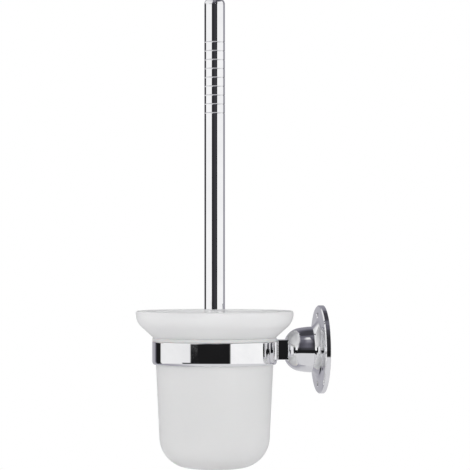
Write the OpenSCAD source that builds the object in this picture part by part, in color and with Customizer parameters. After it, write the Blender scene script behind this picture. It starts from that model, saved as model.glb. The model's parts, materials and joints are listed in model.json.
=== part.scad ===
// Wall-mounted toilet brush holder: a frosted glass cup hangs in a chromed ring on a bell-shaped
// wall bracket, and the brush stands in the cup.
// Frame: the wall is the plane y = 0 and the object stands out toward -Y, with +Z up.
// The bracket's arm lies on the Y axis, and the cup, the ring and the brush share one vertical axis.

/* [Bracket] */
// Distance from the wall to the cup's axis
reach = 82.8; // [80:0.2:90]
// Radius of the wall flange
flange_r = 33.2; // [32:0.1:38]
// Distance of each wall screw hole from the arm's axis
screw_offset = 25.8; // [25:0.1:27]
// Radius of each wall screw hole
screw_hole_r = 2.2; // [2:0.1:2.5]
// Side of the square arm
arm_side = 15; // [14:0.2:15.4]

/* [Ring] */
// Thickness of the ring's wall
ring_wall = 1.7; // [1.6:0.1:2]
// Height of the ring
ring_h = 17.5; // [16:0.1:17.6]
// Height of the ring's upper edge over the arm's axis
ring_top = 6.7; // [6:0.1:6.8]
// Wall thickness of the plastic seat inside the ring
seat_wall = 0.85; // [0.7:0.05:1]

/* [Cup] */
// Radius of the cup's rim
rim_r = 59.2; // [58:0.2:60]
// Height of the rim over the arm's axis
rim_top = 29.3; // [28.5:0.1:30]
// Radius of the neck that the ring holds
neck_r = 43.9; // [43.5:0.1:45]
// Radius of the body just above its rounded foot
foot_r = 41.4; // [41:0.1:42]
// Height of the cup from foot to rim
cup_h = 117.8; // [114:0.2:122]
// Thickness of the glass
glass = 3; // [2.6:0.1:3.2]

/* [Brush] */
// Height of the handle's top over the arm's axis
handle_top = 264.2; // [230:0.2:300]
// Radius of the handle
handle_r = 7.8; // [7.5:0.1:8]
// Number of grip grooves
grooves = 9; // [3:1:12]
// Distance from one grip groove to the next
groove_pitch = 6.64; // [6:0.02:7]
// Radius over the bristles
bristle_r = 32.6; // [30:0.2:32.6]
// Number of rows of bristle tufts
rows = 8; // [6:1:8]

/* [Hidden] */
$fn = 96;

TUFT_ROWS = [for (i = [1:rows]) str("tuft_row_", i)];

// Clearances
slip = 0.05;       // radial play of a screw in its thread
seat_gap = 0.35;   // between the glass and the plastic seat

// Bracket, with heights measured from the wall
flange_rim_h = 3.3;             // height of the flange's upright rim
flange_bevel = 0.8;             // and of the bevel over it
flange_face_lean = 3;           // rise of the face toward the neck, in degrees
bell_base_r = 17.2;
neck_step = 0.2;                // how far the bell overhangs the neck
sweep_top_r = bell_base_r - neck_step;
neck_sweep = 9.5;               // radius of the hollow sweep from the face up to the neck
neck_lean = 30;                 // lean of that sweep at the neck, in degrees
face_in_r = sweep_top_r + neck_sweep * (cos(neck_lean) - sin(flange_face_lean));
face_in_h = flange_face_h(face_in_r);
bell_base_h = face_in_h + neck_sweep * (cos(flange_face_lean) - sin(neck_lean));
bell_wall = 1.8;
bell_side_r = 62;               // radius of the bell's slightly bowed side
bell_base_angle = 1.8;          // lean of that side at its base
bell_joint_angle = 11;          // and where it runs into the dome
dome_r = 13.4;
nose_r = 9.2;
bell_side_axis = [bell_base_r - bell_side_r * cos(bell_base_angle),
                  bell_base_h - bell_side_r * sin(bell_base_angle)];
dome_axis = bell_side_axis
    + (bell_side_r - dome_r) * [cos(bell_joint_angle), sin(bell_joint_angle)];
dome_end_h = dome_axis[1] + dome_r;
spigot_play = 0.4;
spigot_r = bell_base_r - bell_wall - spigot_play;
spigot_h = 2;
pocket_r = 9;
pocket_h = 4.4;
shank_side = 11;
shank_h = 6.2;
bolt_r = 3;
bolt_end_h = 18;
bolt_head_r = 5.25;
bolt_head_h = 2.8;
washer_h = 1;
washer_r = 7;

// Ring, seat and saddle
seat_r = neck_r + seat_gap;
ring_in_r = seat_r + seat_wall;
ring_r = ring_in_r + ring_wall;
ring_bottom = ring_top - ring_h;
ring_edge_r = 0.8;
ring_foot_r = 1.5;
saddle_wall = 1.25;
saddle_w = 15;
saddle_h = 15.6;
saddle_corner_r = 1.5;
ring_screw_r = 1.5;
ring_screw_head_r = 2.6;
ring_screw_len = 8;
ring_screw_zs = [2, -5];
screw_head_sink = 0.15;
ring_screw_tip_h = reach - ring_in_r - screw_head_sink - ring_screw_len;

// Cup
cup_bottom = rim_top - cup_h;
rim_edge_r = glass / 2;
flare_r = 14;
flare_angle = 47.5;             // of the flare's lower slope, from the vertical
flare_axis_r = rim_r - flare_r;
flare_z = rim_top - rim_edge_r - 0.3;
slope_top = [flare_axis_r + flare_r * cos(flare_angle), flare_z - flare_r * sin(flare_angle)];
neck_top = slope_top[1] - (slope_top[0] - neck_r) / tan(flare_angle);
neck_fillet = 2;
neck_fillet_z = neck_top - neck_fillet * tan(flare_angle / 2);
neck_bottom = ring_bottom - 0.8;
foot_curve = 23.5;
foot_z = cup_bottom + foot_curve;
foot_curve_in = 20;
cup_floor = foot_z - foot_curve_in;

// Brush
tube_wall = 1;
tube_end = -2;
cap_joint = handle_top - 5.1;
cap_edge_r = 4.6;
cap_crown = 0.5;
cap_plug_h = 8;
groove_top = cap_joint - 28.4;
// Each groove as [height from its middle, depth]
groove_shape = [[0.8, 0], [0.45, 0.05], [0.2, 0.14], [0, 0.18], [-0.2, 0.14], [-0.45, 0.05], [-0.8, 0]];
seal_h = 2;
stud_r = 4;
stud_engaged = 10;
stud_tip = 2;
plug_h = 16;
core_top = tube_end - seal_h;
core_r = 10;
core_bottom = cup_floor + 11.5;
insert_r = 6;
insert_h = 12.5;
row_pitch = 7.5;
row_top = core_top - 11;
row_root = 1.3;                 // half a row's thickness at the core
row_tip = 2.4;                  // and at its tip
brush_foot = cup_floor + 0.3;

// An arc's points about [x, y], from angle a to angle b
function arc(x, y, r, a, b, n = 12) =
    [for (i = [0:n]) let (t = a + (b - a) * i / n) [x + r * cos(t), y + r * sin(t)]];

// Turns a shape whose own +Z is the distance from the wall
module from_wall() { rotate([90, 0, 0]) children(); }

// Moves a shape to the cup's axis
module on_cup_axis() { translate([0, -reach, 0]) children(); }

module square_bar(side, h0, h1) {
    from_wall() translate([-side / 2, -side / 2, h0]) cube([side, side, h1 - h0]);
}

module rounded_rect(w, h, r) {
    translate([-w / 2, -h / 2 + r]) square([w, h - 2 * r]);
    translate([-w / 2 + r, -h / 2]) square([w - 2 * r, h]);
    for (sx = [-1, 1], sy = [-1, 1])
        translate([sx * (w / 2 - r), sy * (h / 2 - r)]) circle(r);
}

// Bell

// Outline of the bell, shrunk by the given wall, from its base to its nose
function bell_outline(wall) =
    let (nose_angle = acos((nose_r - dome_axis[0]) / dome_r),
         side = arc(bell_side_axis[0], bell_side_axis[1], bell_side_r - wall,
                    bell_base_angle, bell_joint_angle, 4),
         dome = arc(dome_axis[0], dome_axis[1], dome_r - wall, bell_joint_angle, nose_angle))
    concat(side, [for (i = [1:len(dome) - 1]) dome[i]]);

module bell_solid(wall) {
    outline = bell_outline(wall);
    base_h = outline[0][1];
    nose_h = outline[len(outline) - 1][1];
    from_wall() rotate_extrude()
        polygon(concat([[0, base_h]], outline, [[0, nose_h]]));
}

module bell_cover() {
    color("silver")
        difference() {
            bell_solid(0);
            bell_solid(bell_wall);
            square_bar(shank_side + 2 * slip, bell_base_h, dome_end_h);
        }
}

// Flange

// Height of the flange's face at a radius
function flange_face_h(r) =
    flange_rim_h + flange_bevel + (flange_r - flange_bevel - r) * tan(flange_face_lean);

module wall_flange() {
    color("silver")
        difference() {
            from_wall() rotate_extrude()
                polygon(concat(
                    [[0, 0], [flange_r, 0], [flange_r, flange_rim_h],
                     [flange_r - flange_bevel, flange_rim_h + flange_bevel]],
                    arc(sweep_top_r + neck_sweep * cos(neck_lean),
                        bell_base_h + neck_sweep * sin(neck_lean),
                        neck_sweep, 270 - flange_face_lean, 180 + neck_lean),
                    [[spigot_r, bell_base_h], [spigot_r, bell_base_h + spigot_h],
                     [0, bell_base_h + spigot_h]]
                ));
            from_wall() translate([0, 0, -1]) cylinder(r = pocket_r, h = 1 + pocket_h);
            from_wall() cylinder(r = bolt_r + 0.25, h = bell_base_h);
            square_bar(shank_side + 2 * slip, shank_h, bell_base_h + 2 * spigot_h);
            for (side = [-1, 1])
                from_wall() translate([0, side * screw_offset, 0]) wall_screw_hole();
        }
}

module wall_screw_hole() {
    chamfer = 0.6;
    face_h = flange_face_h(screw_offset);
    translate([0, 0, -1]) cylinder(r = screw_hole_r, h = 10);
    translate([0, 0, face_h - chamfer])
        cylinder(r1 = screw_hole_r, r2 = screw_hole_r + 2 * chamfer, h = 2 * chamfer);
}

// Arm and the bolt that draws it, the bell and the flange together

module arm_stem() {
    color("silver")
        difference() {
            union() {
                difference() {
                    square_bar(arm_side, dome_axis[1], reach);
                    bell_solid(0);
                    on_cup_axis() translate([0, 0, -arm_side])
                        cylinder(r = ring_r + saddle_wall, h = 2 * arm_side, $fn = 180);
                }
                square_bar(shank_side, shank_h, dome_end_h);
            }
            from_wall() cylinder(r = bolt_r + slip, h = bolt_end_h + 2);
            for (z = ring_screw_zs)
                from_wall() translate([0, z, ring_screw_tip_h - 1])
                    cylinder(r = ring_screw_r + slip, h = reach);
        }
}

module centre_bolt() {
    head_top = pocket_h - washer_h;
    color("dimgray")
        from_wall() difference() {
            union() {
                translate([0, 0, head_top - bolt_head_h]) cylinder(r = bolt_head_r, h = bolt_head_h);
                translate([0, 0, head_top]) cylinder(r = bolt_r, h = bolt_end_h - head_top);
            }
            translate([0, 0, head_top - bolt_head_h - 1]) cylinder(r = 2.3, h = 2.6, $fn = 6);
        }
}

module bolt_washer() {
    color("gray")
        from_wall() translate([0, 0, pocket_h - washer_h]) difference() {
            cylinder(r = washer_r, h = washer_h);
            translate([0, 0, -1]) cylinder(r = bolt_r + 0.2, h = washer_h + 2);
        }
}

// Ring

// One countersunk screw, its head at the ring's inside and its tip toward the wall
module ring_screw(play = 0) {
    translate([0, -reach + ring_in_r + screw_head_sink, 0]) rotate([-90, 0, 0]) {
        cylinder(r = ring_screw_r + play, h = ring_screw_len);
        cylinder(r1 = ring_screw_head_r + play, r2 = ring_screw_r + play,
                 h = ring_screw_head_r - ring_screw_r);
        if (play > 0)
            translate([0, 0, -1]) cylinder(r = ring_screw_head_r + play, h = 1);
    }
}

module ring_screws() {
    color("gray")
        for (z = ring_screw_zs)
            translate([0, 0, z]) difference() {
                ring_screw();
                translate([0, -reach + ring_in_r, 0]) rotate([-90, 0, 0])
                    cylinder(r = 0.9, h = 0.8, $fn = 6);
            }
}

module ring_screw_holes() {
    for (z = ring_screw_zs)
        translate([0, 0, z]) ring_screw(play = slip);
}

module holder_ring() {
    color("silver")
        difference() {
            on_cup_axis() rotate_extrude($fn = 180)
                polygon(concat(
                    [[ring_in_r, ring_bottom]],
                    arc(ring_r - ring_foot_r, ring_bottom + ring_foot_r, ring_foot_r, -90, 0, 6),
                    arc(ring_r - ring_edge_r, ring_top - ring_edge_r, ring_edge_r, 0, 90, 6),
                    [[ring_in_r, ring_top]]
                ));
            ring_screw_holes();
        }
}

// Curved plate between the ring and the arm
module saddle_plate() {
    color("silver")
        difference() {
            intersection() {
                on_cup_axis() translate([0, 0, -saddle_h / 2]) difference() {
                    cylinder(r = ring_r + saddle_wall, h = saddle_h, $fn = 180);
                    translate([0, 0, -1]) cylinder(r = ring_r, h = saddle_h + 2, $fn = 180);
                }
                from_wall() linear_extrude(reach)
                    rounded_rect(saddle_w, saddle_h, saddle_corner_r);
            }
            ring_screw_holes();
        }
}

// Plastic seat: a thin sleeve in the ring, with a lip on the ring's edge that carries the glass
module ring_seat() {
    lip_edge = 0.15;
    lip_r = ring_r - 0.1;
    lip_in_r = lip_r - 2 * lip_edge;
    // Height at which the lip's inner edge is a seat_gap away from the glass's slope
    slope_clear = seat_gap / cos(flare_angle);
    lip_z = neck_top + (lip_in_r - neck_r - slope_clear) / tan(flare_angle);
    color("whitesmoke")
        on_cup_axis() rotate_extrude($fn = 180)
            polygon([
                [seat_r, ring_bottom + 1.5],
                [ring_in_r, ring_bottom + 1.5],
                [ring_in_r, ring_top],
                [lip_r, ring_top],
                [lip_r, lip_z - 3 * lip_edge],
                [lip_r - lip_edge, lip_z],
                [lip_in_r, lip_z],
                [seat_r, lip_z - (lip_in_r - seat_r) / tan(flare_angle)]
            ]);
}

// Cup

module glass_cup() {
    color("white", 0.8)
        on_cup_axis() rotate_extrude($fn = 180)
            polygon(concat(
                [[0, cup_bottom]],
                arc(foot_r - foot_curve, foot_z, foot_curve, -90, 0),
                [[neck_r, neck_bottom]],
                arc(neck_r + neck_fillet, neck_fillet_z, neck_fillet, 180, 180 - flare_angle, 4),
                arc(flare_axis_r, flare_z, flare_r, -flare_angle, 0),
                arc(rim_r - rim_edge_r, rim_top - rim_edge_r, rim_edge_r, 0, 180, 8),
                arc(flare_axis_r, flare_z, flare_r - glass, 0, -flare_angle),
                arc(neck_r + neck_fillet, neck_fillet_z, neck_fillet + glass,
                    180 - flare_angle, 180, 6),
                [[neck_r - glass, neck_bottom]],
                arc(foot_r - glass - foot_curve_in, foot_z, foot_curve_in, 0, -90),
                [[0, cup_floor]]
            ));
}

// Brush head

module brush_core() {
    color("white")
        on_cup_axis() difference() {
            rotate_extrude()
                polygon(concat(
                    [[0, core_bottom]],
                    arc(core_r - 4, core_bottom + 4, 4, -90, 0, 6),
                    [[core_r, core_top - 5], [handle_r, core_top - 1.5], [handle_r, core_top],
                     [0, core_top]]
                ));
            translate([0, 0, core_top - insert_h - stud_tip])
                cylinder(r = stud_r + 0.5, h = insert_h + stud_tip + 1);
            translate([0, 0, core_top - insert_h]) cylinder(r = insert_r, h = insert_h + 1);
        }
}

module thread_insert() {
    color("goldenrod")
        on_cup_axis() translate([0, 0, core_top - insert_h]) difference() {
            cylinder(r = insert_r, h = insert_h);
            translate([0, 0, -1]) cylinder(r = stud_r + slip, h = insert_h + 2);
        }
}

// One row of tufts as the ring of space that its fibres fill, counted from the top
module tuft_row(i) {
    color("white")
        on_cup_axis() translate([0, 0, row_top - (i - 1) * row_pitch]) rotate_extrude()
            polygon([
                [core_r, -row_root], [bristle_r - 1, -row_tip], [bristle_r, -row_tip + 1],
                [bristle_r, row_tip - 1], [bristle_r - 1, row_tip], [core_r, row_root]
            ]);
}

// Tufts that fan out under the core
module end_tufts() {
    color("white")
        on_cup_axis() rotate_extrude()
            polygon([
                [0, core_bottom], [core_r - 4, core_bottom], [24, core_bottom - 1.5],
                [27, core_bottom - 4], [21, core_bottom - 8], [13, brush_foot], [0, brush_foot]
            ]);
}

// Handle

module seal_washer() {
    color("dimgray")
        on_cup_axis() translate([0, 0, core_top]) difference() {
            cylinder(r = handle_r - 0.2, h = seal_h);
            translate([0, 0, -1]) cylinder(r = stud_r + slip, h = seal_h + 2);
        }
}

module thread_stud() {
    bottom = core_top - stud_engaged;
    top = tube_end + plug_h - 4;
    color("gray")
        on_cup_axis() rotate_extrude()
            polygon([
                [0, bottom], [stud_r - 0.8, bottom], [stud_r, bottom + 0.8],
                [stud_r, top - 0.8], [stud_r - 0.8, top], [0, top]
            ]);
}

module end_plug() {
    color("gray")
        on_cup_axis() translate([0, 0, tube_end]) difference() {
            cylinder(r = handle_r - tube_wall, h = plug_h);
            translate([0, 0, -1]) cylinder(r = stud_r, h = plug_h - 3);
        }
}

module handle_tube() {
    color("silver")
        on_cup_axis() rotate_extrude()
            polygon(concat(
                [[handle_r - tube_wall, cap_joint], [handle_r, cap_joint]],
                [for (i = [0:grooves - 1], p = groove_shape)
                    [handle_r - p[1], groove_top - i * groove_pitch + p[0]]],
                [[handle_r, tube_end], [handle_r - tube_wall, tube_end]]
            ));
}

module handle_cap() {
    plug_r = handle_r - tube_wall;
    color("silver")
        on_cup_axis() rotate_extrude()
            polygon(concat(
                [[0, cap_joint - cap_plug_h], [plug_r - 0.5, cap_joint - cap_plug_h],
                 [plug_r, cap_joint - cap_plug_h + 0.5], [plug_r, cap_joint]],
                arc(handle_r - cap_edge_r, cap_joint, cap_edge_r, 0, 90, 8),
                [[0, handle_top]]
            ));
}

wall_flange();
bell_cover();
arm_stem();
centre_bolt();
bolt_washer();
saddle_plate();
holder_ring();
ring_screws();
ring_seat();
glass_cup();
brush_core();
thread_insert();
for (i = [1:rows])
    tuft_row(i);
end_tufts();
seal_washer();
thread_stud();
end_plug();
handle_tube();
handle_cap();
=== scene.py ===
"""Looks of the wall-mounted toilet brush holder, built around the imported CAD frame.

The wall is the plane y = 0, the object stands out toward -Y and +Z is up. Outlines are in
millimetres and start from the CAD nodes' boxes; piece() turns each finished mesh into metres.
"""

import json
import math
import random

import bmesh
import bpy
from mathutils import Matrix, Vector


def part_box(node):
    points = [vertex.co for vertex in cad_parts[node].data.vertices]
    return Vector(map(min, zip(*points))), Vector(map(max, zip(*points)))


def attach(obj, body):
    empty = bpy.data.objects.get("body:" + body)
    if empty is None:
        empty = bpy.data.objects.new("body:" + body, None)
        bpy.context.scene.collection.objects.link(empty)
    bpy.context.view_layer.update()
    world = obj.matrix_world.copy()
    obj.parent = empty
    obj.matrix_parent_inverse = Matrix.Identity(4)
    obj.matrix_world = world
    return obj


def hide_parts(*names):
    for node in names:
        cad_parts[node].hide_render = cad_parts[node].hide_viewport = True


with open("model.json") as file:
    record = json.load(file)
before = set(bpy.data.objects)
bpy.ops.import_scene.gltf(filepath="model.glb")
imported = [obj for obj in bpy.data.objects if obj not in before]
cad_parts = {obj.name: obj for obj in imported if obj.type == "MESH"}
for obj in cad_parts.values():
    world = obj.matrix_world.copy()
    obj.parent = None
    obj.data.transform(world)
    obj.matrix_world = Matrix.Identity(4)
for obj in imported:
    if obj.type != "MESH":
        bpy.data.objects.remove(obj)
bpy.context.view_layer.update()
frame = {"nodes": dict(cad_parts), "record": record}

MM = 0.001
TURN = 2 * math.pi
SMALL_SEGMENTS = 64       # faces around a screw or a bush
PLAIN_SEGMENTS = 128      # around a matte piece
SEGMENTS = 192            # around a chromed one, which shows its facets sooner
CUP_SEGMENTS = 256        # and around the cup, which is the widest
ON_AXIS = 1e-6            # an outline's point nearer its axis than this becomes a pole
SHARP = math.radians(38)  # edges sharper than this stay crisp
EDGE = 0.3                # rounding of an ordinary machined edge, in millimetres
BURR = 0.15               # and of a fine one
CLEAR = 1                 # how far a cutting tool reaches past what it cuts


# ---- Measures taken from the frame, in millimetres ----

def node_box(name):
    """Lowest and highest corner of a CAD node."""
    lo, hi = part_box(name)
    return lo / MM, hi / MM


class Measure:
    """Radius, bottom and top of a CAD node that is turned about the cup's axis."""

    def __init__(self, name):
        lo, hi = node_box(name)
        self.r = (hi.x - lo.x) / 2
        self.bottom = lo.z
        self.top = hi.z


cup = Measure("glass_cup")
ring = Measure("holder_ring")
seat = Measure("ring_seat")
tube = Measure("handle_tube")
cap = Measure("handle_cap")
core = Measure("brush_core")
insert = Measure("thread_insert")
stud = Measure("thread_stud")
washer = Measure("seal_washer")
fan = Measure("end_tufts")

cup_lo, cup_hi = node_box("glass_cup")
flange_lo, flange_hi = node_box("wall_flange")
bell_lo, bell_hi = node_box("bell_cover")
stem_lo, stem_hi = node_box("arm_stem")
saddle_lo, saddle_hi = node_box("saddle_plate")
bolt_lo, bolt_hi = node_box("centre_bolt")
AXIS_Y = (cup_lo.y + cup_hi.y) / 2
SADDLE_WALL = 1.25
RING_WALL = 1.7
SEAT_WALL = 0.85
SEAT_GAP = 0.35           # between the seat and the glass
GLASS = 3                 # thickness of the cup's wall
SADDLE_R = ring.r + SADDLE_WALL
RING_IN_R = ring.r - RING_WALL
SEAT_IN_R = RING_IN_R - SEAT_WALL
NECK_R = SEAT_IN_R - SEAT_GAP


# ---- Outlines ----

def cosine(degrees):
    return math.cos(math.radians(degrees))


def sine(degrees):
    return math.sin(math.radians(degrees))


def tangent(degrees):
    return math.tan(math.radians(degrees))


def arc(x, y, r, start, end, steps=16):
    """Points of an arc about (x, y), with angles in degrees."""
    angles = [math.radians(start + (end - start) * i / steps) for i in range(steps + 1)]
    return [(x + r * math.cos(a), y + r * math.sin(a)) for a in angles]


def rounded(corners, steps=8):
    """Points of a closed outline whose corners are (x, y) or (x, y, fillet radius)."""
    points = []
    for i, corner in enumerate(corners):
        here = Vector(corner[:2])
        if len(corner) == 2:
            points.append(tuple(here))
            continue
        back = (Vector(corners[i - 1][:2]) - here).normalized()
        onward = (Vector(corners[(i + 1) % len(corners)][:2]) - here).normalized()
        fillet = corner[2]
        half = math.acos(max(-1, min(1, back.dot(onward)))) / 2
        centre = here + (back + onward).normalized() * (fillet / math.sin(half))
        first = here + back * (fillet / math.tan(half)) - centre
        last = here + onward * (fillet / math.tan(half)) - centre
        start = math.atan2(first.y, first.x)
        swing = (math.atan2(last.y, last.x) - start + math.pi) % TURN - math.pi
        points += arc(centre.x, centre.y, fillet, math.degrees(start), math.degrees(start + swing),
                      steps)
    return points


def bar_outline(width, height, fillet):
    """Cross-section of a rectangular bar with rounded corners."""
    x, z = width / 2, height / 2
    return rounded([(-x, -z, fillet), (x, -z, fillet), (x, z, fillet), (-x, z, fillet)])


def on_cup_axis(r, angle, z):
    """A place about the cup's axis, at a height."""
    return Vector((r * math.cos(angle), AXIS_Y + r * math.sin(angle), z))


def on_arm_axis(r, angle, height):
    """A place about the arm's axis, at a height from the wall."""
    return Vector((r * math.cos(angle), -height, r * math.sin(angle)))


def beside_arm(z):
    """The same for an axis that runs parallel to the arm, higher or lower by z."""
    return lambda r, angle, height: on_arm_axis(r, angle, height) + Vector((0, 0, z))


# ---- Meshes ----

def new_object(name, bm):
    """Turns the faces outward and puts the finished mesh in the scene."""
    bmesh.ops.recalc_face_normals(bm, faces=bm.faces)
    mesh = bpy.data.meshes.new(name)
    bm.to_mesh(mesh)
    bm.free()
    obj = bpy.data.objects.new(name, mesh)
    bpy.context.scene.collection.objects.link(obj)
    return obj


def lathe(name, outline, place, segments=SEGMENTS):
    """Turns a closed outline of (radius, height) points into a solid."""
    bm = bmesh.new()
    columns = []
    for r, h in outline:
        spots = 1 if r < ON_AXIS else segments
        columns.append([bm.verts.new(place(r, TURN * s / segments, h)) for s in range(spots)])
    for a, b in zip(columns, columns[1:] + columns[:1]):
        if len(a) == 1 and len(b) == 1:
            continue
        for s in range(segments):
            t = (s + 1) % segments
            corners = [a[s % len(a)], a[t % len(a)], b[t % len(b)], b[s % len(b)]]
            bm.faces.new(list(dict.fromkeys(corners)))
    return new_object(name, bm)


def prism(name, outline, height_0, height_1):
    """A bar along the arm's axis from an outline of (x, z) points."""
    bm = bmesh.new()
    ends = [[bm.verts.new((x, -h, z)) for x, z in outline] for h in (height_0, height_1)]
    for i in range(len(outline)):
        j = (i + 1) % len(outline)
        bm.faces.new([ends[0][i], ends[0][j], ends[1][j], ends[1][i]])
    for end in ends:
        bm.faces.new(end)
    return new_object(name, bm)


def threaded_rod(name, r, depth, pitch, bottom, top, place, chamfer=0.8):
    """A rod with a right-hand thread and chamfered ends."""
    rings_per_turn = 12
    flank = 0.375           # share of the pitch that each flank takes
    steps = round((top - bottom) / pitch * rings_per_turn)
    bm = bmesh.new()
    rings = []
    for k in range(steps + 1):
        h = bottom + (top - bottom) * k / steps
        limit = r - max(0, chamfer - (h - bottom), chamfer - (top - h))
        row = []
        for s in range(SMALL_SEGMENTS):
            phase = (h / pitch - s / SMALL_SEGMENTS) % 1
            from_crest = min(phase, 1 - phase)
            fall = min(1, max(0, (from_crest - (0.5 - flank) / 2) / flank))
            reach = min(limit, r - depth * fall)
            row.append(bm.verts.new(place(reach, TURN * s / SMALL_SEGMENTS, h)))
        rings.append(row)
    for a, b in zip(rings, rings[1:]):
        for s in range(SMALL_SEGMENTS):
            t = (s + 1) % SMALL_SEGMENTS
            bm.faces.new([a[s], a[t], b[t], b[s]])
    bm.faces.new(rings[0])
    bm.faces.new(rings[-1])
    return new_object(name, bm)


def settle(obj):
    """Replaces the object's mesh with its modifiers' result."""
    evaluated = obj.evaluated_get(bpy.context.evaluated_depsgraph_get())
    mesh = bpy.data.meshes.new_from_object(evaluated)
    obj.modifiers.clear()
    obj.data = mesh
    return obj


def cut(obj, *tools, operation="DIFFERENCE"):
    """Cuts the tools out of the object, or joins them to it, and deletes the tools."""
    for tool in tools:
        step = obj.modifiers.new("cut", "BOOLEAN")
        step.operation = operation
        step.solver = "EXACT"
        step.object = tool
    settle(obj)
    for tool in tools:
        bpy.data.objects.remove(tool)
    return obj


def soften(obj, width, steps):
    """Rounds the object's sharp edges."""
    bevel = obj.modifiers.new("bevel", "BEVEL")
    bevel.width = width
    bevel.segments = steps
    bevel.limit_method = "ANGLE"
    bevel.angle_limit = SHARP
    return settle(obj)


def piece(obj, body, slot, *nodes):
    """Turns a finished mesh into metres, gives it its slot's finish, and replaces its CAD nodes."""
    for vertex in obj.data.vertices:
        vertex.co *= MM
    obj.data.polygons.foreach_set("use_smooth", [True] * len(obj.data.polygons))
    obj.data.set_sharp_from_angle(angle=SHARP)
    weighted = obj.modifiers.new("normals", "WEIGHTED_NORMAL")
    weighted.keep_sharp = True
    weighted.weight = 100  # large faces outweigh small ones
    settle(obj)
    obj.data.materials.clear()
    obj.data.materials.append(FINISHES[slot])
    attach(obj, body)
    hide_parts(*nodes)
    return obj


# ---- Materials ----

class Surface:
    """A Principled material whose colour, roughness and relief follow procedural noise."""

    usual_noise = (0.3, 0.7)  # the range in which most of a noise texture's values lie

    def __init__(self, name, **sockets):
        self.material = bpy.data.materials.new(name)
        self.material.use_nodes = True
        self.nodes = self.material.node_tree.nodes
        self.links = self.material.node_tree.links
        self.shader = self.nodes["Principled BSDF"]
        self.place = self.nodes.new("ShaderNodeTexCoord").outputs["Object"]
        for socket, value in sockets.items():
            self.shader.inputs[socket.replace("_", " ")].default_value = value

    def stretched(self, x, y, z):
        """The place, scaled differently along each axis, for streaks."""
        mapping = self.nodes.new("ShaderNodeMapping")
        mapping.inputs["Scale"].default_value = (x, y, z)
        self.links.new(self.place, mapping.inputs["Vector"])
        return mapping.outputs["Vector"]

    def noise(self, scale, detail, place=None):
        node = self.nodes.new("ShaderNodeTexNoise")
        node.inputs["Scale"].default_value = scale
        node.inputs["Detail"].default_value = detail
        self.links.new(place or self.place, node.inputs["Vector"])
        return node.outputs["Fac"]

    def vary_roughness(self, factor, low, high):
        spread = self.nodes.new("ShaderNodeMapRange")
        spread.inputs["From Min"].default_value = self.usual_noise[0]
        spread.inputs["From Max"].default_value = self.usual_noise[1]
        spread.inputs["To Min"].default_value = low
        spread.inputs["To Max"].default_value = high
        self.links.new(factor, spread.inputs["Value"])
        self.links.new(spread.outputs["Result"], self.shader.inputs["Roughness"])

    def vary_colour(self, factor, dark, light):
        ramp = self.nodes.new("ShaderNodeValToRGB")
        for stop, position, colour in zip(ramp.color_ramp.elements, self.usual_noise, (dark, light)):
            stop.position = position
            stop.color = (*colour, 1)
        self.links.new(factor, ramp.inputs["Fac"])
        self.links.new(ramp.outputs["Color"], self.shader.inputs["Base Color"])

    def bump(self, factor, height, strength):
        """Adds relief of a height in millimetres to any relief already there."""
        node = self.nodes.new("ShaderNodeBump")
        node.inputs["Distance"].default_value = height * MM
        node.inputs["Strength"].default_value = strength
        self.links.new(factor, node.inputs["Height"])
        normal = self.shader.inputs["Normal"]
        if normal.is_linked:
            self.links.new(normal.links[0].from_socket, node.inputs["Normal"])
        self.links.new(node.outputs["Normal"], normal)


def chrome_plating():
    """Polished chrome: near-mirror, with faint polishing haze on a barely wavy base metal."""
    s = Surface("chrome_plating", Metallic=1.0)
    s.vary_colour(s.noise(70, 4), (0.84, 0.84, 0.855), (0.89, 0.89, 0.9))
    s.vary_roughness(s.noise(240, 5), 0.012, 0.045)
    s.bump(s.noise(55, 2), 0.01, 0.5)
    return s.material


def frosted_glass():
    """Acid-frosted white glass: light spreads through it, with a fine even grain."""
    s = Surface("frosted_glass", Transmission_Weight=0.5, IOR=1.5)
    s.vary_colour(s.noise(28, 3), (0.955, 0.955, 0.957), (0.98, 0.98, 0.98))
    s.vary_roughness(s.noise(900, 4), 0.6, 0.7)
    s.bump(s.noise(4200, 3), 0.03, 0.35)
    return s.material


def seat_plastic():
    """Soft translucent polyethylene, with moulding marks."""
    s = Surface("seat_plastic", IOR=1.5, Subsurface_Weight=0.15, Subsurface_Scale=0.004)
    s.vary_colour(s.noise(160, 3), (0.58, 0.58, 0.58), (0.62, 0.62, 0.62))
    s.vary_roughness(s.noise(700, 4), 0.3, 0.45)
    s.bump(s.noise(900, 3), 0.02, 0.4)
    return s.material


def core_plastic():
    """Moulded polypropylene."""
    s = Surface("core_plastic", IOR=1.49, Subsurface_Weight=0.15, Subsurface_Scale=0.003)
    s.vary_colour(s.noise(120, 3), (0.82, 0.82, 0.8), (0.88, 0.88, 0.86))
    s.vary_roughness(s.noise(500, 4), 0.32, 0.48)
    s.bump(s.noise(1400, 4), 0.02, 0.5)
    return s.material


def nylon_bristle():
    """White nylon filament, each one a little different from the next."""
    s = Surface("nylon_bristle", IOR=1.53, Subsurface_Weight=0.1, Subsurface_Scale=0.001)
    tint = s.nodes.new("ShaderNodeAttribute")
    tint.attribute_name = "tint"
    s.vary_colour(tint.outputs["Fac"], (0.74, 0.75, 0.76), (0.93, 0.93, 0.92))
    s.vary_roughness(s.noise(1500, 2), 0.25, 0.42)
    return s.material


def turned_metal(name, dark, light, low, high):
    """Metal with fine level streaks, as turning leaves on an upright piece."""
    s = Surface(name, Metallic=1.0)
    marks = s.noise(260, 5, s.stretched(1, 1, 9))
    s.vary_colour(s.noise(90, 3), dark, light)
    s.vary_roughness(marks, low, high)
    s.bump(marks, 0.012, 0.5)
    return s.material


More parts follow.
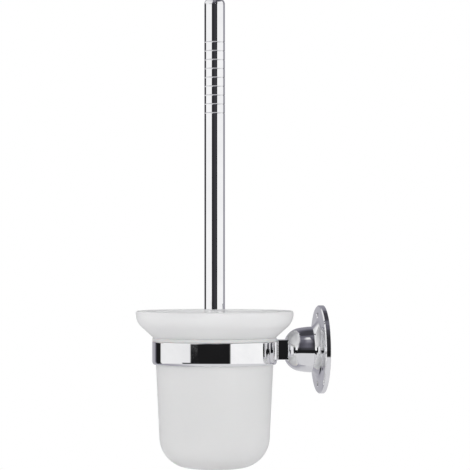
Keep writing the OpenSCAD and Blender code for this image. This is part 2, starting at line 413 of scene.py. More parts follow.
def seal_rubber():
    """Black nitrile rubber with a dull moulded skin."""
    s = Surface("seal_rubber", IOR=1.52)
    s.vary_colour(s.noise(200, 3), (0.018, 0.018, 0.019), (0.035, 0.035, 0.036))
    s.vary_roughness(s.noise(900, 4), 0.55, 0.8)
    s.bump(s.noise(1800, 4), 0.03, 0.6)
    return s.material


FINISHES = {
    "chrome": chrome_plating(),
    "frosted_glass": frosted_glass(),
    "seat_plastic": seat_plastic(),
    "white_plastic": core_plastic(),
    "bristle": nylon_bristle(),
    "steel": turned_metal("zinc_steel", (0.5, 0.5, 0.51), (0.62, 0.62, 0.63), 0.2, 0.4),
    "brass": turned_metal("turned_brass", (0.7, 0.5, 0.22), (0.82, 0.62, 0.3), 0.18, 0.35),
    "seal_rubber": seal_rubber(),
}


# ---- Wall bracket ----

BELL_R = bell_hi.x
BELL_BASE = -bell_hi.y
BELL_NOSE = -bell_lo.y
BELL_WALL = 1.8
BELL_SIDE_R = 62          # radius of the bell's slightly bowed side
BELL_BASE_ANGLE = 1.8     # lean of that side at its base, in degrees
BELL_JOINT_ANGLE = 11     # and where it runs into the dome
DOME_R = 13.4             # radius of the dome's curve
NOSE_R = 9.2              # radius of the flat at its end
SIDE_AXIS_R = BELL_R - BELL_SIDE_R * cosine(BELL_BASE_ANGLE)
SIDE_AXIS_H = BELL_BASE - BELL_SIDE_R * sine(BELL_BASE_ANGLE)
DOME_AXIS_R = SIDE_AXIS_R + (BELL_SIDE_R - DOME_R) * cosine(BELL_JOINT_ANGLE)
DOME_AXIS_H = SIDE_AXIS_H + (BELL_SIDE_R - DOME_R) * sine(BELL_JOINT_ANGLE)
FLANGE_R = flange_hi.x
FLANGE_RIM = 3.3          # height of the flange's upright rim
FLANGE_BEVEL = 0.8        # and of the bevel over it
FACE_LEAN = 3             # rise of its face toward the neck, in degrees
BELL_OVERHANG = 0.2       # how far the bell stands out over the flange's neck
NECK_SWEEP = 9.5          # radius of the hollow sweep from the face up to the neck
NECK_LEAN = 30            # lean of that sweep at the neck, in degrees
STEM_SIDE = stem_hi.x - stem_lo.x
SHANK_SIDE = 11           # the arm's square shank passes through the bell into the flange
SHANK_H = 6.2             # height at which it ends
PLAY = 0.05               # between parts that fit closely
SPIGOT_PLAY = 0.4         # between the flange's spigot and the bell
POCKET_R = 9              # pocket for the bolt's head, behind the flange
POCKET_H = 4.4
BOLT_R = 3
BOLT_BORE_R = 3.25
BOLT_WASHER = 1           # thickness of the washer under the bolt's head
BORE_END_H = 20
HOLE_CHAMFER = 0.6
wall_screws = next(m for m in frame["record"]["mounts"] if m["kind"] == "bolt_pattern")["dims"]
SCREW_OFFSET = wall_screws["spacing_y_mm"] / 2
SCREW_HOLE_R = wall_screws["hole_r_mm"]


def face_height(r):
    """Height of the flange's face at a radius."""
    return FLANGE_RIM + FLANGE_BEVEL + (FLANGE_R - FLANGE_BEVEL - r) * tangent(FACE_LEAN)


def bell_outline(wall):
    """The bell's line from its base to its nose, shrunk by a wall."""
    nose_angle = math.degrees(math.acos((NOSE_R - DOME_AXIS_R) / DOME_R))
    side = arc(SIDE_AXIS_R, SIDE_AXIS_H, BELL_SIDE_R - wall, BELL_BASE_ANGLE, BELL_JOINT_ANGLE)
    dome = arc(DOME_AXIS_R, DOME_AXIS_H, DOME_R - wall, BELL_JOINT_ANGLE, nose_angle, 48)
    return side + dome[1:]


def bell_solid():
    """The bell without its hollow, to cut its shape out of the arm."""
    outline = bell_outline(0)
    return lathe("bell_solid", [(0, BELL_BASE), *outline, (0, outline[-1][1])], on_arm_axis)


def shank_window(height_0, height_1):
    """Cutter for the square window that the arm's shank passes through."""
    side = SHANK_SIDE + 2 * PLAY
    return prism("window", bar_outline(side, side, EDGE), height_0, height_1)


def screw_hole(z):
    """Cutter for one wall screw hole, with its chamfer at the flange's face."""
    mouth = face_height(SCREW_OFFSET) - HOLE_CHAMFER
    over = 2 * HOLE_CHAMFER
    outline = [(0, -CLEAR), (SCREW_HOLE_R, -CLEAR), (SCREW_HOLE_R, mouth),
               (SCREW_HOLE_R + over, mouth + over), (0, mouth + over)]
    return lathe("hole", outline, beside_arm(z), SMALL_SEGMENTS)


def wall_flange():
    """Plate that rises to a neck under the bell, with a spigot inside the bell and a pocket behind."""
    spigot_r = BELL_R - BELL_WALL - SPIGOT_PLAY
    spigot_h = -flange_lo.y
    sweep_axis = (BELL_R - BELL_OVERHANG + NECK_SWEEP * cosine(NECK_LEAN),
                  BELL_BASE + NECK_SWEEP * sine(NECK_LEAN))
    outline = rounded([
        (POCKET_R, 0), (FLANGE_R, 0, EDGE), (FLANGE_R, FLANGE_RIM, BURR),
        (FLANGE_R - FLANGE_BEVEL, FLANGE_RIM + FLANGE_BEVEL, BURR),
        *arc(*sweep_axis, NECK_SWEEP, 270 - FACE_LEAN, 180 + NECK_LEAN, 24),
        (spigot_r, BELL_BASE), (spigot_r, spigot_h, EDGE), (BOLT_BORE_R, spigot_h),
        (BOLT_BORE_R, POCKET_H), (POCKET_R, POCKET_H),
    ], 4)
    plate = lathe("flange_plate", outline, on_arm_axis)
    window = shank_window(SHANK_H, spigot_h + CLEAR)
    cut(plate, window, screw_hole(SCREW_OFFSET), screw_hole(-SCREW_OFFSET))
    piece(plate, "holder", "chrome", "wall_flange")


def bell_cover():
    """Hollow bell with an eased mouth, closed at its nose apart from the shank's window."""
    mouth_edge = 0.4
    outer, inner = bell_outline(0), bell_outline(BELL_WALL)
    outline = rounded([(BELL_R, BELL_BASE, mouth_edge), *outer[1:],
                       (0, outer[-1][1]), (0, inner[-1][1]), *inner[::-1]])
    shell = lathe("bell_shell", outline, on_arm_axis)
    cut(shell, shank_window(DOME_AXIS_H, BELL_NOSE + CLEAR))
    piece(shell, "holder", "chrome", "bell_cover")


def arm_stem():
    """Square block scribed to the bell's dome and to the saddle, with its shank."""
    block = prism("arm_block", bar_outline(STEM_SIDE, STEM_SIDE, EDGE), DOME_AXIS_H, CLEAR - stem_lo.y)
    saddle_back = [(0, -STEM_SIDE), (SADDLE_R, -STEM_SIDE), (SADDLE_R, STEM_SIDE), (0, STEM_SIDE)]
    cut(block, bell_solid(), lathe("saddle_back", saddle_back, on_cup_axis))
    shank = prism("shank", bar_outline(SHANK_SIDE, SHANK_SIDE, EDGE), SHANK_H, BELL_NOSE + EDGE)
    cut(block, shank, operation="UNION")
    bore = [(0, 0), (BOLT_R + PLAY, 0), (BOLT_R + PLAY, BORE_END_H), (0, BORE_END_H)]
    cut(block, lathe("bore", bore, on_arm_axis, SMALL_SEGMENTS))
    piece(block, "holder", "chrome", "arm_stem")


def centre_bolt():
    """Low-head socket bolt, seen in the pocket behind the flange."""
    head_r, head_foot, bolt_end = bolt_hi.x, -bolt_hi.y, -bolt_lo.y
    head_top, head_edge = POCKET_H - BOLT_WASHER, 0.5
    pitch, thread_depth, shank_in_head = 1, 0.55, 1
    socket_r, socket_depth = 2.3, 1.6
    head = rounded([(0, head_foot), (head_r, head_foot, head_edge), (head_r, head_top, EDGE),
                    (0, head_top)])
    bolt = lathe("bolt", head, on_arm_axis, SMALL_SEGMENTS)
    shank = threaded_rod("shank", BOLT_R, thread_depth, pitch, head_top - shank_in_head, bolt_end,
                         on_arm_axis)
    cut(bolt, shank, operation="UNION")
    hexagon = [(socket_r * math.cos(TURN * k / 6), socket_r * math.sin(TURN * k / 6)) for k in range(6)]
    cut(bolt, prism("socket", hexagon, head_foot - CLEAR, head_foot + socket_depth))
    piece(bolt, "holder", "steel", "centre_bolt")


def bolt_washer():
    """Flat washer between the bolt's head and the pocket's floor."""
    washer_play = 0.2
    lo, hi = node_box("bolt_washer")
    outer, inner, low, high = hi.x, BOLT_R + washer_play, -hi.y, -lo.y
    outline = rounded([(inner, low, BURR), (outer, low, BURR), (outer, high, BURR),
                       (inner, high, BURR)], 4)
    spacer = lathe("bolt_spacer", outline, on_arm_axis, SMALL_SEGMENTS)
    piece(spacer, "holder", "steel", "bolt_washer")


# ---- Glass cup ----

RIM_EDGE = GLASS / 2      # the rim is fully rounded
RIM_UPRIGHT = 0.3         # short upright stretch between that rounding and the flare
FLARE_R = 14              # radius of the flare's curve
FLARE_ANGLE = 47.5        # lean of the slope from the neck up to that curve, in degrees
FLARE_AXIS_R = cup.r - FLARE_R
FLARE_Z = cup.top - RIM_EDGE - RIM_UPRIGHT
NECK_FILLET = 2
SLOPE_TOP_R = FLARE_AXIS_R + FLARE_R * cosine(FLARE_ANGLE)
SLOPE_TOP = FLARE_Z - FLARE_R * sine(FLARE_ANGLE)
NECK_TOP = SLOPE_TOP - (SLOPE_TOP_R - NECK_R) / tangent(FLARE_ANGLE)
FILLET_Z = NECK_TOP - NECK_FILLET * tangent(FLARE_ANGLE / 2)
NECK_BELOW_RING = 0.8     # how far the straight neck reaches below the ring
NECK_BOTTOM = ring.bottom - NECK_BELOW_RING
FOOT_R = 41.4             # radius where the body runs into the foot's curve
FOOT_CURVE = 23.5         # radius of that curve outside
FOOT_CURVE_IN = 20        # and inside
FOOT_Z = cup.bottom + FOOT_CURVE
CUP_FLOOR = FOOT_Z - FOOT_CURVE_IN


def glass_cup():
    """One closed wall: a rounded foot, a slightly tapered body, a neck and a flared rim."""
    body_lean = math.degrees(math.atan((NECK_R - FOOT_R) / (NECK_BOTTOM - FOOT_Z)))
    neck_blend = 30
    dish, dish_edge, dish_edge_in = 0.4, 0.12, 5  # the cup stands on a ring around a shallow hollow
    outer = [
        (0, cup.bottom + dish),
        (FOOT_R - FOOT_CURVE - dish_edge_in, cup.bottom + dish_edge),
        *arc(FOOT_R - FOOT_CURVE, FOOT_Z, FOOT_CURVE, -90, -body_lean, 48),
        *arc(NECK_R - neck_blend, NECK_BOTTOM, neck_blend, -body_lean, 0, 4),
        *arc(NECK_R + NECK_FILLET, FILLET_Z, NECK_FILLET, 180, 180 - FLARE_ANGLE, 10),
        *arc(FLARE_AXIS_R, FLARE_Z, FLARE_R, -FLARE_ANGLE, 0, 28),
        *arc(cup.r - RIM_EDGE, cup.top - RIM_EDGE, RIM_EDGE, 0, 180, 20),
    ]
    inner = [
        *arc(FLARE_AXIS_R, FLARE_Z, FLARE_R - GLASS, 0, -FLARE_ANGLE, 24),
        *arc(NECK_R + NECK_FILLET, FILLET_Z, NECK_FILLET + GLASS, 180 - FLARE_ANGLE, 180, 12),
        *arc(NECK_R - GLASS - neck_blend, NECK_BOTTOM, neck_blend, 0, -body_lean, 4),
        *arc(FOOT_R - GLASS - FOOT_CURVE_IN, FOOT_Z, FOOT_CURVE_IN, -body_lean, -90, 40),
        (0, CUP_FLOOR),
    ]
    glass = lathe("frosted_cup", outer + inner, on_cup_axis, CUP_SEGMENTS)
    piece(glass, "cup", "frosted_glass", "glass_cup")


# ---- Ring ----

def holder_ring():
    """Flat band whose lower edge curves in along a tall quarter of an ellipse."""
    top_edge, foot_in, foot_up = 0.8, 1.5, 3
    foot = [(ring.r - foot_in * (1 - x), ring.bottom + foot_up * (1 + y))
            for x, y in arc(0, 0, 1, -90, 0)]
    outline = rounded([(RING_IN_R, ring.bottom, BURR), *foot, (ring.r, ring.top, top_edge),
                       (RING_IN_R, ring.top, BURR)], 12)
    piece(lathe("ring_band", outline, on_cup_axis), "holder", "chrome", "holder_ring")


def ring_seat():
    """Thin sleeve whose lip sits on the ring's edge, with a cone for the glass."""
    lip_in, lip_slope, fine_edge = 0.15, 3, 0.06
    lip_side_top = seat.top - lip_slope * lip_in
    cone_top_r = NECK_R + SEAT_GAP / cosine(FLARE_ANGLE) + (seat.top - NECK_TOP) * tangent(FLARE_ANGLE)
    cone_foot = seat.top - (cone_top_r - SEAT_IN_R) / tangent(FLARE_ANGLE)
    outline = rounded([
        (SEAT_IN_R, seat.bottom, fine_edge), (RING_IN_R, seat.bottom, fine_edge),
        (RING_IN_R, ring.top), (seat.r, ring.top, fine_edge), (seat.r, lip_side_top, fine_edge),
        (seat.r - lip_in, seat.top, fine_edge), (cone_top_r, seat.top, fine_edge),
        (SEAT_IN_R, cone_foot),
    ], 5)
    piece(lathe("seat_sleeve", outline, on_cup_axis), "holder", "seat_plastic", "ring_seat")


def saddle_plate():
    """Thin plate with rounded corners and eased edges, bent round the ring in narrow strips."""
    corner, eased, strips = 1.5, 0.6, 40
    width = saddle_hi.x - saddle_lo.x
    flat = prism("flat_plate", bar_outline(width, saddle_hi.z - saddle_lo.z, corner), 0, SADDLE_WALL)
    bm = bmesh.new()
    bm.from_mesh(soften(flat, eased, 6).data)
    bpy.data.objects.remove(flat)
    for strip in range(1, strips):
        everything = bm.verts[:] + bm.edges[:] + bm.faces[:]
        bmesh.ops.bisect_plane(bm, geom=everything, plane_co=(width * (strip / strips - 0.5), 0, 0),
                               plane_no=(1, 0, 0))
    for vertex in bm.verts:
        r = ring.r - vertex.co.y
        vertex.co = on_cup_axis(r, math.acos(vertex.co.x / r), vertex.co.z)
    piece(new_object("saddle", bm), "holder", "chrome", "saddle_plate")


# ---- Brush head ----

BRISTLE_SEED = 7
TUFTS_IN_ROW = 18
FILAMENTS_IN_TUFT = 22
END_FILAMENTS = 620
ROOT_DEPTH = 0.5          # how far a tuft starts inside the core
TUFT_HALF_WIDTH = 1.1     # of a tuft at its root
TUFT_SPREAD = 0.62        # and at its tip, sideways, as a share of the tufts' spacing
TIP_RISE = 3.3            # and at its tip, up and down
TUFT_WANDER = 0.08        # how far a tuft stands beside its place, as a share of the spacing
TUFT_TILT = 0.5           # how far its tip leans up or down
TIP_STRAY = 0.2           # how much of a filament's place in the tip is chance
TRIM = 1.1                # how far the shortest filaments fall short of the row's edge
MOST_SAG = 0.25           # how far a filament's middle leaves the straight line
END_TUFTS = 9             # around the core's end
FILAMENT_R = 0.19
FILAMENT_TIP_R = 0.12
FILAMENT_STEPS = 4
ASKEW = Vector((0.31, 0.17, 0.93))  # crossed with a filament's direction, gives one sideways to it
CORE_EDGE = 4             # rounding of the core's lower edge


class Filaments:
    """Collects three-sided tapered filaments into one mesh, each with its own tint."""

    def __init__(self, seed):
        self.chance = random.Random(seed)
        self.points, self.faces, self.tints = [], [], []

    def add(self, root, tip, sag):
        """One filament from root to tip that leaves the straight line by sag at its middle."""
        start = len(self.points)
        along = (tip - root).normalized()
        side = along.cross(ASKEW).normalized()
        other = along.cross(side)
        tint = self.chance.random()
        for k in range(FILAMENT_STEPS + 1):
            t = k / FILAMENT_STEPS
            centre = root.lerp(tip, t) + sag * (4 * t * (1 - t))
            r = FILAMENT_R + (FILAMENT_TIP_R - FILAMENT_R) * t ** 2
            for corner in range(3):
                angle = TURN * corner / 3
                self.points.append(centre + (side * math.cos(angle) + other * math.sin(angle)) * r)
                self.tints.append(tint)
        for k in range(FILAMENT_STEPS):
            for corner in range(3):
                a, b = start + 3 * k + corner, start + 3 * k + (corner + 1) % 3
                self.faces.append((a, b, b + 3, a + 3))
        end = start + 3 * FILAMENT_STEPS
        self.faces += [(start + 2, start + 1, start), (end, end + 1, end + 2)]

    def object(self, name):
        """The filaments so far as one object."""
        mesh = bpy.data.meshes.new(name)
        mesh.from_pydata(self.points, [], self.faces)
        mesh.attributes.new("tint", "FLOAT", "POINT").data.foreach_set("value", self.tints)
        obj = bpy.data.objects.new(name, mesh)
        bpy.context.scene.collection.objects.link(obj)
        return obj

    def disc(self):
        """A random place in a disc of radius 1."""
        r, angle = math.sqrt(self.chance.random()), TURN * self.chance.random()
        return r * math.cos(angle), r * math.sin(angle)

    def stray(self, reach):
        """A random number from -reach to reach."""
        return self.chance.uniform(-reach, reach)


def tuft_row(number, node):
    """One row of tufts that spread as they leave the core, staggered against the rows beside it."""
    row = Measure(node)
    middle = (row.bottom + row.top) / 2
    fibres = Filaments(BRISTLE_SEED + number)
    root_r = core.r - ROOT_DEPTH
    fan_angle = TUFT_SPREAD * TURN / TUFTS_IN_ROW
    for tuft in range(TUFTS_IN_ROW):
        angle = TURN * (tuft + 0.5 * (number % 2) + fibres.stray(TUFT_WANDER)) / TUFTS_IN_ROW
        tilt = fibres.stray(TUFT_TILT)
        for _ in range(FILAMENTS_IN_TUFT):
            across, up = fibres.disc()
            root = on_cup_axis(root_r, angle + across * TUFT_HALF_WIDTH / root_r,
                               middle + up * TUFT_HALF_WIDTH)
            tip_r = row.r - FILAMENT_R - TRIM * fibres.chance.random() ** 2
            spread = across * (1 - TIP_STRAY) + fibres.stray(TIP_STRAY)
            rise = (up * (1 - TIP_STRAY) + fibres.stray(TIP_STRAY)) * TIP_RISE + tilt
            tip = on_cup_axis(tip_r, angle + spread * fan_angle, middle + rise)
            sag = Vector([fibres.stray(MOST_SAG) for _ in range(3)])
            fibres.add(root, tip, sag)
    piece(fibres.object(f"tufts_{number}"), "brush_head", "bristle", node)


def end_tufts():
    """Tufts under the core that fan out and down, trimmed to a rounded end."""
    outward_bias = 0.6      # below 1, more filaments lean out than stand under the middle
    place_stray = 0.28      # how far a filament's place strays before it joins the nearest tuft
    root_angle, tip_angle = 0.14, 0.22  # and how far its ends stray from the tuft, in radians
    shortest = 0.95         # reach of the shortest filament, as a share of the longest
    arch = 0.35             # rise of the outermost filaments' middle
    widest_drop = 3.5       # from the core's end to where the fan is widest
    fibres = Filaments(BRISTLE_SEED)
    chance = fibres.chance
    root_r, root_z = core.r - CORE_EDGE, core.bottom + ROOT_DEPTH
    side_r, side_z = fan.r - FILAMENT_R, core.bottom - widest_drop
    for _ in range(END_FILAMENTS):
        lean = chance.random() ** outward_bias
        tuft = round(chance.random() * END_TUFTS + fibres.stray(place_stray))
        angle = TURN * (tuft / END_TUFTS) + fibres.stray(root_angle)
        root = on_cup_axis(root_r * lean, angle, root_z)
        swing = lean * math.pi / 2
        tip_r = side_r * math.sin(swing) * chance.uniform(shortest, 1)
        tip_z = side_z - (side_z - fan.bottom - FILAMENT_R) * math.cos(swing)
        tip = on_cup_axis(tip_r, angle + fibres.stray(tip_angle), tip_z)
        fibres.add(root, tip, Vector((0, 0, arch * lean)))
    piece(fibres.object("tufts_end"), "brush_head", "bristle", "end_tufts")


def brush_core():
    """Moulded core: a plain barrel under a cone that meets the washer, with a pocket for the insert."""
    cone_foot, cone_foot_edge = core.top - 5, 1.5
    cone_top, cone_top_edge = core.top - 1.5, 0.5
    pocket_edge = 0.1
    well_r, well_floor = 4.5, insert.bottom - 2
    outline = rounded([
        (0, core.bottom), (core.r, core.bottom, CORE_EDGE), (core.r, cone_foot, cone_foot_edge),
        (tube.r, cone_top, cone_top_edge), (tube.r, core.top, EDGE), (insert.r, core.top, pocket_edge),
        (insert.r, insert.bottom), (well_r, insert.bottom), (well_r, well_floor), (0, well_floor),
    ], 10)
    barrel = lathe("core", outline, on_cup_axis, PLAIN_SEGMENTS)
    piece(barrel, "brush_head", "white_plastic", "brush_core")


# ---- Handle and its thread ----

THREAD_PITCH = 1.25
THREAD_DEPTH = 0.42
TUBE_WALL = 1
TUBE_BURR = 0.12          # bevel on either side of the joint between the tube and its cap


def thread_insert():
    """Brass bush with a real thread in it."""
    bush_edge, tap_reach = 0.2, 2
    tap_r = stud.r + PLAY + THREAD_DEPTH
    blank = rounded([(0, insert.bottom), (insert.r, insert.bottom, bush_edge),
                     (insert.r, insert.top, bush_edge), (0, insert.top)], 4)
    bush = lathe("insert", blank, on_cup_axis, SMALL_SEGMENTS)
    tap = threaded_rod("tap", tap_r, THREAD_DEPTH, THREAD_PITCH, insert.bottom - tap_reach,
                       insert.top + tap_reach, on_cup_axis, 0)
    cut(bush, tap)
    piece(bush, "brush_head", "brass", "thread_insert")


def thread_stud():
    """Threaded rod that joins the handle to the brush head."""
    rod = threaded_rod("stud", stud.r, THREAD_DEPTH, THREAD_PITCH, stud.bottom, stud.top, on_cup_axis)
    piece(rod, "handle", "steel", "thread_stud")


def seal_washer():
    """Rubber washer with rounded outer edges, between the handle and the brush head."""
    bore_r, round_edge = stud.r + PLAY, 0.5
    outline = rounded([(bore_r, washer.bottom, EDGE), (washer.r, washer.bottom, round_edge),
                       (washer.r, washer.top, round_edge), (bore_r, washer.top, EDGE)])
    seal_ring = lathe("seal_ring", outline, on_cup_axis, PLAIN_SEGMENTS)
    piece(seal_ring, "seal", "seal_rubber", "seal_washer")


GROOVES = 9
GROOVE_PITCH = 6.64
GROOVE_DEPTH = 0.16
GROOVE_HALF = 0.6         # half of a groove's width
GROOVE_NARROWING = 1.6    # above 1, a groove is narrow at its floor and runs out gently
GRIP_DROP = 28.4          # from the tube's top to its first groove


def groove(z):
    """Outline of one rolled groove, from its upper edge to its lower edge."""
    steps = 16
    points = []
    for k in range(steps + 1):
        t = 2 * k / steps - 1
        depth = GROOVE_DEPTH * (0.5 + 0.5 * math.cos(math.pi * t)) ** GROOVE_NARROWING
        points.append((tube.r - depth, z - t * GROOVE_HALF))
    return points


def handle_tube():
    """Thin tube with rolled grooves near its top."""
    inner_r = tube.r - TUBE_WALL
    outline = [(inner_r, tube.top), (tube.r - TUBE_BURR, tube.top), (tube.r, tube.top - TUBE_BURR)]
    for i in range(GROOVES):
        outline += groove(tube.top - GRIP_DROP - i * GROOVE_PITCH)
    outline += [(tube.r, tube.bottom + EDGE), (tube.r - EDGE, tube.bottom), (inner_r, tube.bottom)]
    piece(lathe("grip_tube", outline, on_cup_axis), "handle", "chrome", "handle_tube")


def handle_cap():
    """Plug with a rounded edge that runs into a shallow crown."""
    plug_r, plug_lead, edge_r = tube.r - TUBE_WALL, 0.5, 4.6
    edge_axis_r = tube.r - edge_r
    joint_to_top = cap.top - tube.top
    crown_r = (edge_axis_r ** 2 + joint_to_top ** 2 - edge_r ** 2) / (2 * (joint_to_top - edge_r))
    meet = math.degrees(math.atan2(crown_r - joint_to_top, edge_axis_r))
    outline = [
        (0, cap.bottom), (plug_r - plug_lead, cap.bottom), (plug_r, cap.bottom + plug_lead),
        (plug_r, tube.top), (tube.r - TUBE_BURR, tube.top),
        *arc(edge_axis_r, tube.top + TUBE_BURR, edge_r, 0, meet, 20),
        *arc(0, cap.top - crown_r, crown_r, meet, 90, 12)[1:],
    ]
    piece(lathe("cap_plug", outline, on_cup_axis), "handle", "chrome", "handle_cap")


def carried_over():
    """CAD nodes whose own shape is right get their finish."""
    for node in ("ring_screws", "end_plug"):
        mesh = frame["nodes"][node].data
        mesh.materials.clear()
        mesh.materials.append(FINISHES["steel"])


wall_flange()
bell_cover()
arm_stem()
centre_bolt()
bolt_washer()
holder_ring()
ring_seat()
saddle_plate()
glass_cup()
brush_core()
tuft_nodes = [node for node in frame["nodes"] if node.startswith("tuft_row_")]
for row_number in range(1, len(tuft_nodes) + 1):
    tuft_row(row_number, f"tuft_row_{row_number}")
end_tufts()
thread_insert()
thread_stud()
seal_washer()
handle_tube()
handle_cap()
carried_over()


# ---- Studio ----

CAMERA_AZIMUTH = 81.2       # round from the front, in degrees
CAMERA_DISTANCE = 2.3
CAMERA_HEIGHT = 0.0862
CAMERA_ASIDE = 0.0153       # how far right of the cup's axis the camera aims
CAMERA_LENS = 234.9
TOWARD_CAMERA = Vector((sine(CAMERA_AZIMUTH), -cosine(CAMERA_AZIMUTH), 0))
TO_THE_RIGHT = Vector((cosine(CAMERA_AZIMUTH), sine(CAMERA_AZIMUTH), 0))
UP = Vector((0, 0, 1))
STUDIO_CENTRE = Vector((0, AXIS_Y * MM, 0))
BLACK = 0.013               # brightness of the black cloth
LEFT_BOX = 0.93             # of the left soft box below camera height
HANDLE_BOX = 1.04           # of the same box at that height, where the handle mirrors it
RIGHT_BOX = 1.02            # and of the right soft box
SOFT_LIGHT = 0.66           # brightness all round as matte surfaces receive it
FLOOR_Z = -0.45
FLOOR_R = 4.5
LAMP_ELEVATION = 8
LAMP_DISTANCE = 3
LAMP_SIZE = 1


def studio_camera():
    data = bpy.data.cameras.new("camera")
    data.lens = CAMERA_LENS
    camera = bpy.data.objects.new("camera", data)
    aim = STUDIO_CENTRE + TO_THE_RIGHT * CAMERA_ASIDE + UP * CAMERA_HEIGHT
    camera.location = aim + TOWARD_CAMERA * CAMERA_DISTANCE
    camera.rotation_euler = (-TOWARD_CAMERA).to_track_quat("-Z", "Y").to_euler()
    bpy.context.scene.collection.objects.link(camera)
    bpy.context.scene.camera = camera


def lamp(name, sideways, power):
    """A round soft lamp, in degrees to the camera's right, that the chrome does not mirror."""
    data = bpy.data.lights.new(name, "AREA")
    data.shape = "DISK"
    data.size = LAMP_SIZE
    data.energy = power
    light = bpy.data.objects.new(name, data)
    level = TOWARD_CAMERA * cosine(sideways) + TO_THE_RIGHT * sine(sideways)
    toward = level * cosine(LAMP_ELEVATION) + UP * sine(LAMP_ELEVATION)
    light.location = STUDIO_CENTRE + toward * LAMP_DISTANCE
    light.rotation_euler = toward.to_track_quat("Z", "Y").to_euler()
    light.visible_glossy = False
    light.visible_camera = False
    bpy.context.scene.collection.objects.link(light)


def studio_floor():
    """Round sheet of pale paper well below the object."""
    bm = bmesh.new()
    bmesh.ops.create_circle(bm, cap_ends=True, segments=96, radius=FLOOR_R)
    floor = new_object("studio_floor", bm)
    floor.location = STUDIO_CENTRE + UP * FLOOR_Z
    floor.visible_glossy = False
    s = Surface("studio_paper", Roughness=0.9)
    s.vary_colour(s.noise(3, 4), (0.92, 0.92, 0.92), (0.94, 0.94, 0.94))
    floor.data.materials.append(s.material)


def near_level(left_edge, left_box, front, back_edge, right_back):
    """Brightness around the object near camera height.

    The left soft box reaches from back_edge to left_edge, and the right one from 30 to 110 degrees.
    Black cloth hangs between them and behind the left one. Its faint strip beside the camera has
    the brightness front, and right_back is what stands behind the right one.
    """
    return [
        (-180, 0.50), (-165, 0.48), (-145, 0.38), (-139, 0.10), (-135, BLACK), (back_edge - 2, BLACK),
        (back_edge, left_box), (left_edge - 1, left_box), (left_edge + 1, BLACK),
        (4, front), (14, front), (22, BLACK), (28.8, BLACK), (30.6, RIGHT_BOX),
        (110, RIGHT_BOX), (114, right_back), (144, right_back), (150, 0.42), (180, 0.50),
    ]


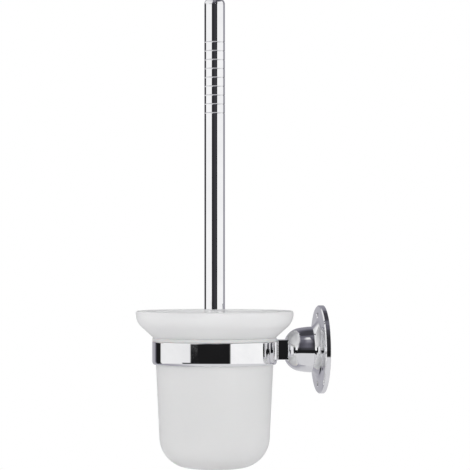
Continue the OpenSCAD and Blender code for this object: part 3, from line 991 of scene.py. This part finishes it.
class StudioSky:
    """What the chrome mirrors: soft boxes left and right, black cloth, a glow and a pale floor.

    Each storey reaches from its elevation up to the next one, and holds the brightness around
    the object as (degrees to the camera's right, brightness). Matte surfaces get an even light
    instead, and behind the object the camera sees white.
    """

    # (elevation, half the blend between this storey and the one below, brightness around)
    storeys = [
        (-90, 1.0, near_level(-62, LEFT_BOX, BLACK, -117, 0.04)),
        (-3.4, 0.6, near_level(-44.8, LEFT_BOX, BLACK, -117, 0.04)),
        (-1.7, 0.1, near_level(-31, HANDLE_BOX, 0.05, -108, 0.3)),
        (10, 5, [(-180, 0.30), (-150, 0.35), (-140, 0.80), (-130, 0.98), (-34, 0.95), (-26, 0.50),
                 (-20, 0.07), (-3, 0.09), (4, 0.14), (9, 0.12), (15, 0.03), (33, 0.04),
                 (36, RIGHT_BOX), (110, RIGHT_BOX), (120, 0.10), (150, 0.45), (180, 0.30)]),
        (38, 7, [(-180, 0.25), (-150, 0.30), (-138, 0.70), (-122, 0.85), (-98, 0.88), (-30, 0.84),
                 (-20, 0.36), (-12, 0.13), (0, 0.14), (5, 0.30), (10, 0.28), (16, 0.06), (40, 0.08),
                 (110, 0.15), (150, 0.30), (180, 0.25)]),
        (54, 3, [(-180, 0.12), (-150, 0.20), (-135, 0.50), (-100, 0.76), (-36, 0.74), (-28, 0.38),
                 (-12, 0.16), (-3, 0.24), (4, 0.85), (11.5, 0.88), (14, 0.12), (110, 0.12),
                 (150, 0.06), (180, 0.12)]),
        (66, 2, [(-180, 0.06), (-150, 0.09), (-130, 0.40), (-100, 0.56), (-60, 0.62), (-42, 0.25),
                 (-30, 0.16), (60, 0.16), (110, 0.06), (180, 0.06)]),
        (77, 2, [(-180, 0.06), (180, 0.06)]),
    ]
    # The floor as the chrome mirrors it, darker at the left
    ground = [(-180, 0.66), (-140, 0.42), (-108, 0.38), (-85, 0.48), (-55, 0.68), (-45, 0.73),
              (60, 0.73), (180, 0.66)]
    ground_top, ground_blend = -18, 1.5
    even_light = (SOFT_LIGHT, SOFT_LIGHT, SOFT_LIGHT)
    white = (1, 1, 1)
    violet_tint = 0.25        # how far the dark tones lean to violet
    violet_from_black = 12    # how fast that sets in above pure black
    green_loss = 0.15         # what it takes from green, as a share of what it gives to blue

    def __init__(self):
        world = bpy.data.worlds.new("studio")
        bpy.context.scene.world = world
        world.use_nodes = True
        self.nodes = world.node_tree.nodes
        self.links = world.node_tree.links
        background = self.nodes["Background"]
        seen = self.nodes.new("ShaderNodeTexCoord").outputs["Generated"]
        towards = self.dot(seen, TOWARD_CAMERA)
        rightwards = self.dot(seen, TO_THE_RIGHT)
        # Both the turn around the object and the height are brought to the range 0 to 1.
        turned = self.reckon("DIVIDE", self.reckon("ARCTAN2", rightwards, towards), TURN)
        self.bearing = self.reckon("ADD", turned, 0.5)
        self.height = self.reckon("MULTIPLY_ADD", self.dot(seen, UP), 0.5, 0.5)
        lit = self.around(self.storeys[0][2])
        for elevation, blend, brightness in self.storeys[1:]:
            lit = self.mix(self.above(elevation, blend), lit, self.around(brightness))
        above_ground = self.above(self.ground_top, self.ground_blend)
        lit = self.mix(above_ground, self.around(self.ground), lit)
        ray = self.nodes.new("ShaderNodeLightPath").outputs
        lit = self.mix(ray["Is Diffuse Ray"], lit, self.even_light)
        lit = self.mix(ray["Is Camera Ray"], lit, self.white)
        self.links.new(lit, background.inputs["Color"])

    def around(self, brightness):
        """The brightness all the way around, from stops in degrees."""
        return self.ramp(self.bearing, [((angle + 180) / 360, value) for angle, value in brightness])

    def above(self, elevation, blend):
        """0 below an elevation and 1 above it, in degrees."""
        ends = [0.5 + 0.5 * sine(elevation + side * blend) for side in (-1, 1)]
        return self.ramp(self.height, [(ends[0], 0), (ends[1], 1)])

    def dot(self, vector, direction_vector):
        node = self.nodes.new("ShaderNodeVectorMath")
        node.operation = "DOT_PRODUCT"
        self.links.new(vector, node.inputs[0])
        node.inputs[1].default_value = direction_vector
        return node.outputs["Value"]

    def reckon(self, operation, *values):
        """A math node of numbers and other nodes' results."""
        node = self.nodes.new("ShaderNodeMath")
        node.operation = operation
        for socket, value in zip(node.inputs, values):
            if isinstance(value, (int, float)):
                socket.default_value = value
            else:
                self.links.new(value, socket)
        return node.outputs[0]

    def ramp(self, factor, stops):
        """A ramp of (position, brightness) stops, whose dark tones lean a little to violet."""
        node = self.nodes.new("ShaderNodeValToRGB")
        elements = node.color_ramp.elements
        while len(elements) < len(stops):
            elements.new(0.5)
        for element, (position, value) in zip(elements, stops):
            violet = self.violet_tint * max(0, 1 - value) ** 2 * min(1, self.violet_from_black * value)
            green = value * (1 - self.green_loss * violet)
            element.position = position
            element.color = (value, green, value * (1 + violet), 1)
        self.links.new(factor, node.inputs["Fac"])
        return node.outputs["Color"]

    def mix(self, factor, low, high):
        """The low value where the factor is 0 and the high one where it is 1."""
        node = self.nodes.new("ShaderNodeMixRGB")
        self.links.new(factor, node.inputs["Fac"])
        for socket, value in ((node.inputs["Color1"], low), (node.inputs["Color2"], high)):
            if isinstance(value, tuple):
                socket.default_value = (*value, 1)
            else:
                self.links.new(value, socket)
        return node.outputs["Color"]


studio_camera()
studio_floor()
StudioSky()
lamp("left_fill", -60, 22)
lamp("front_fill", 0, 12)
lamp("right_fill", 60, 24)
bpy.context.scene.view_settings.view_transform = "Standard"
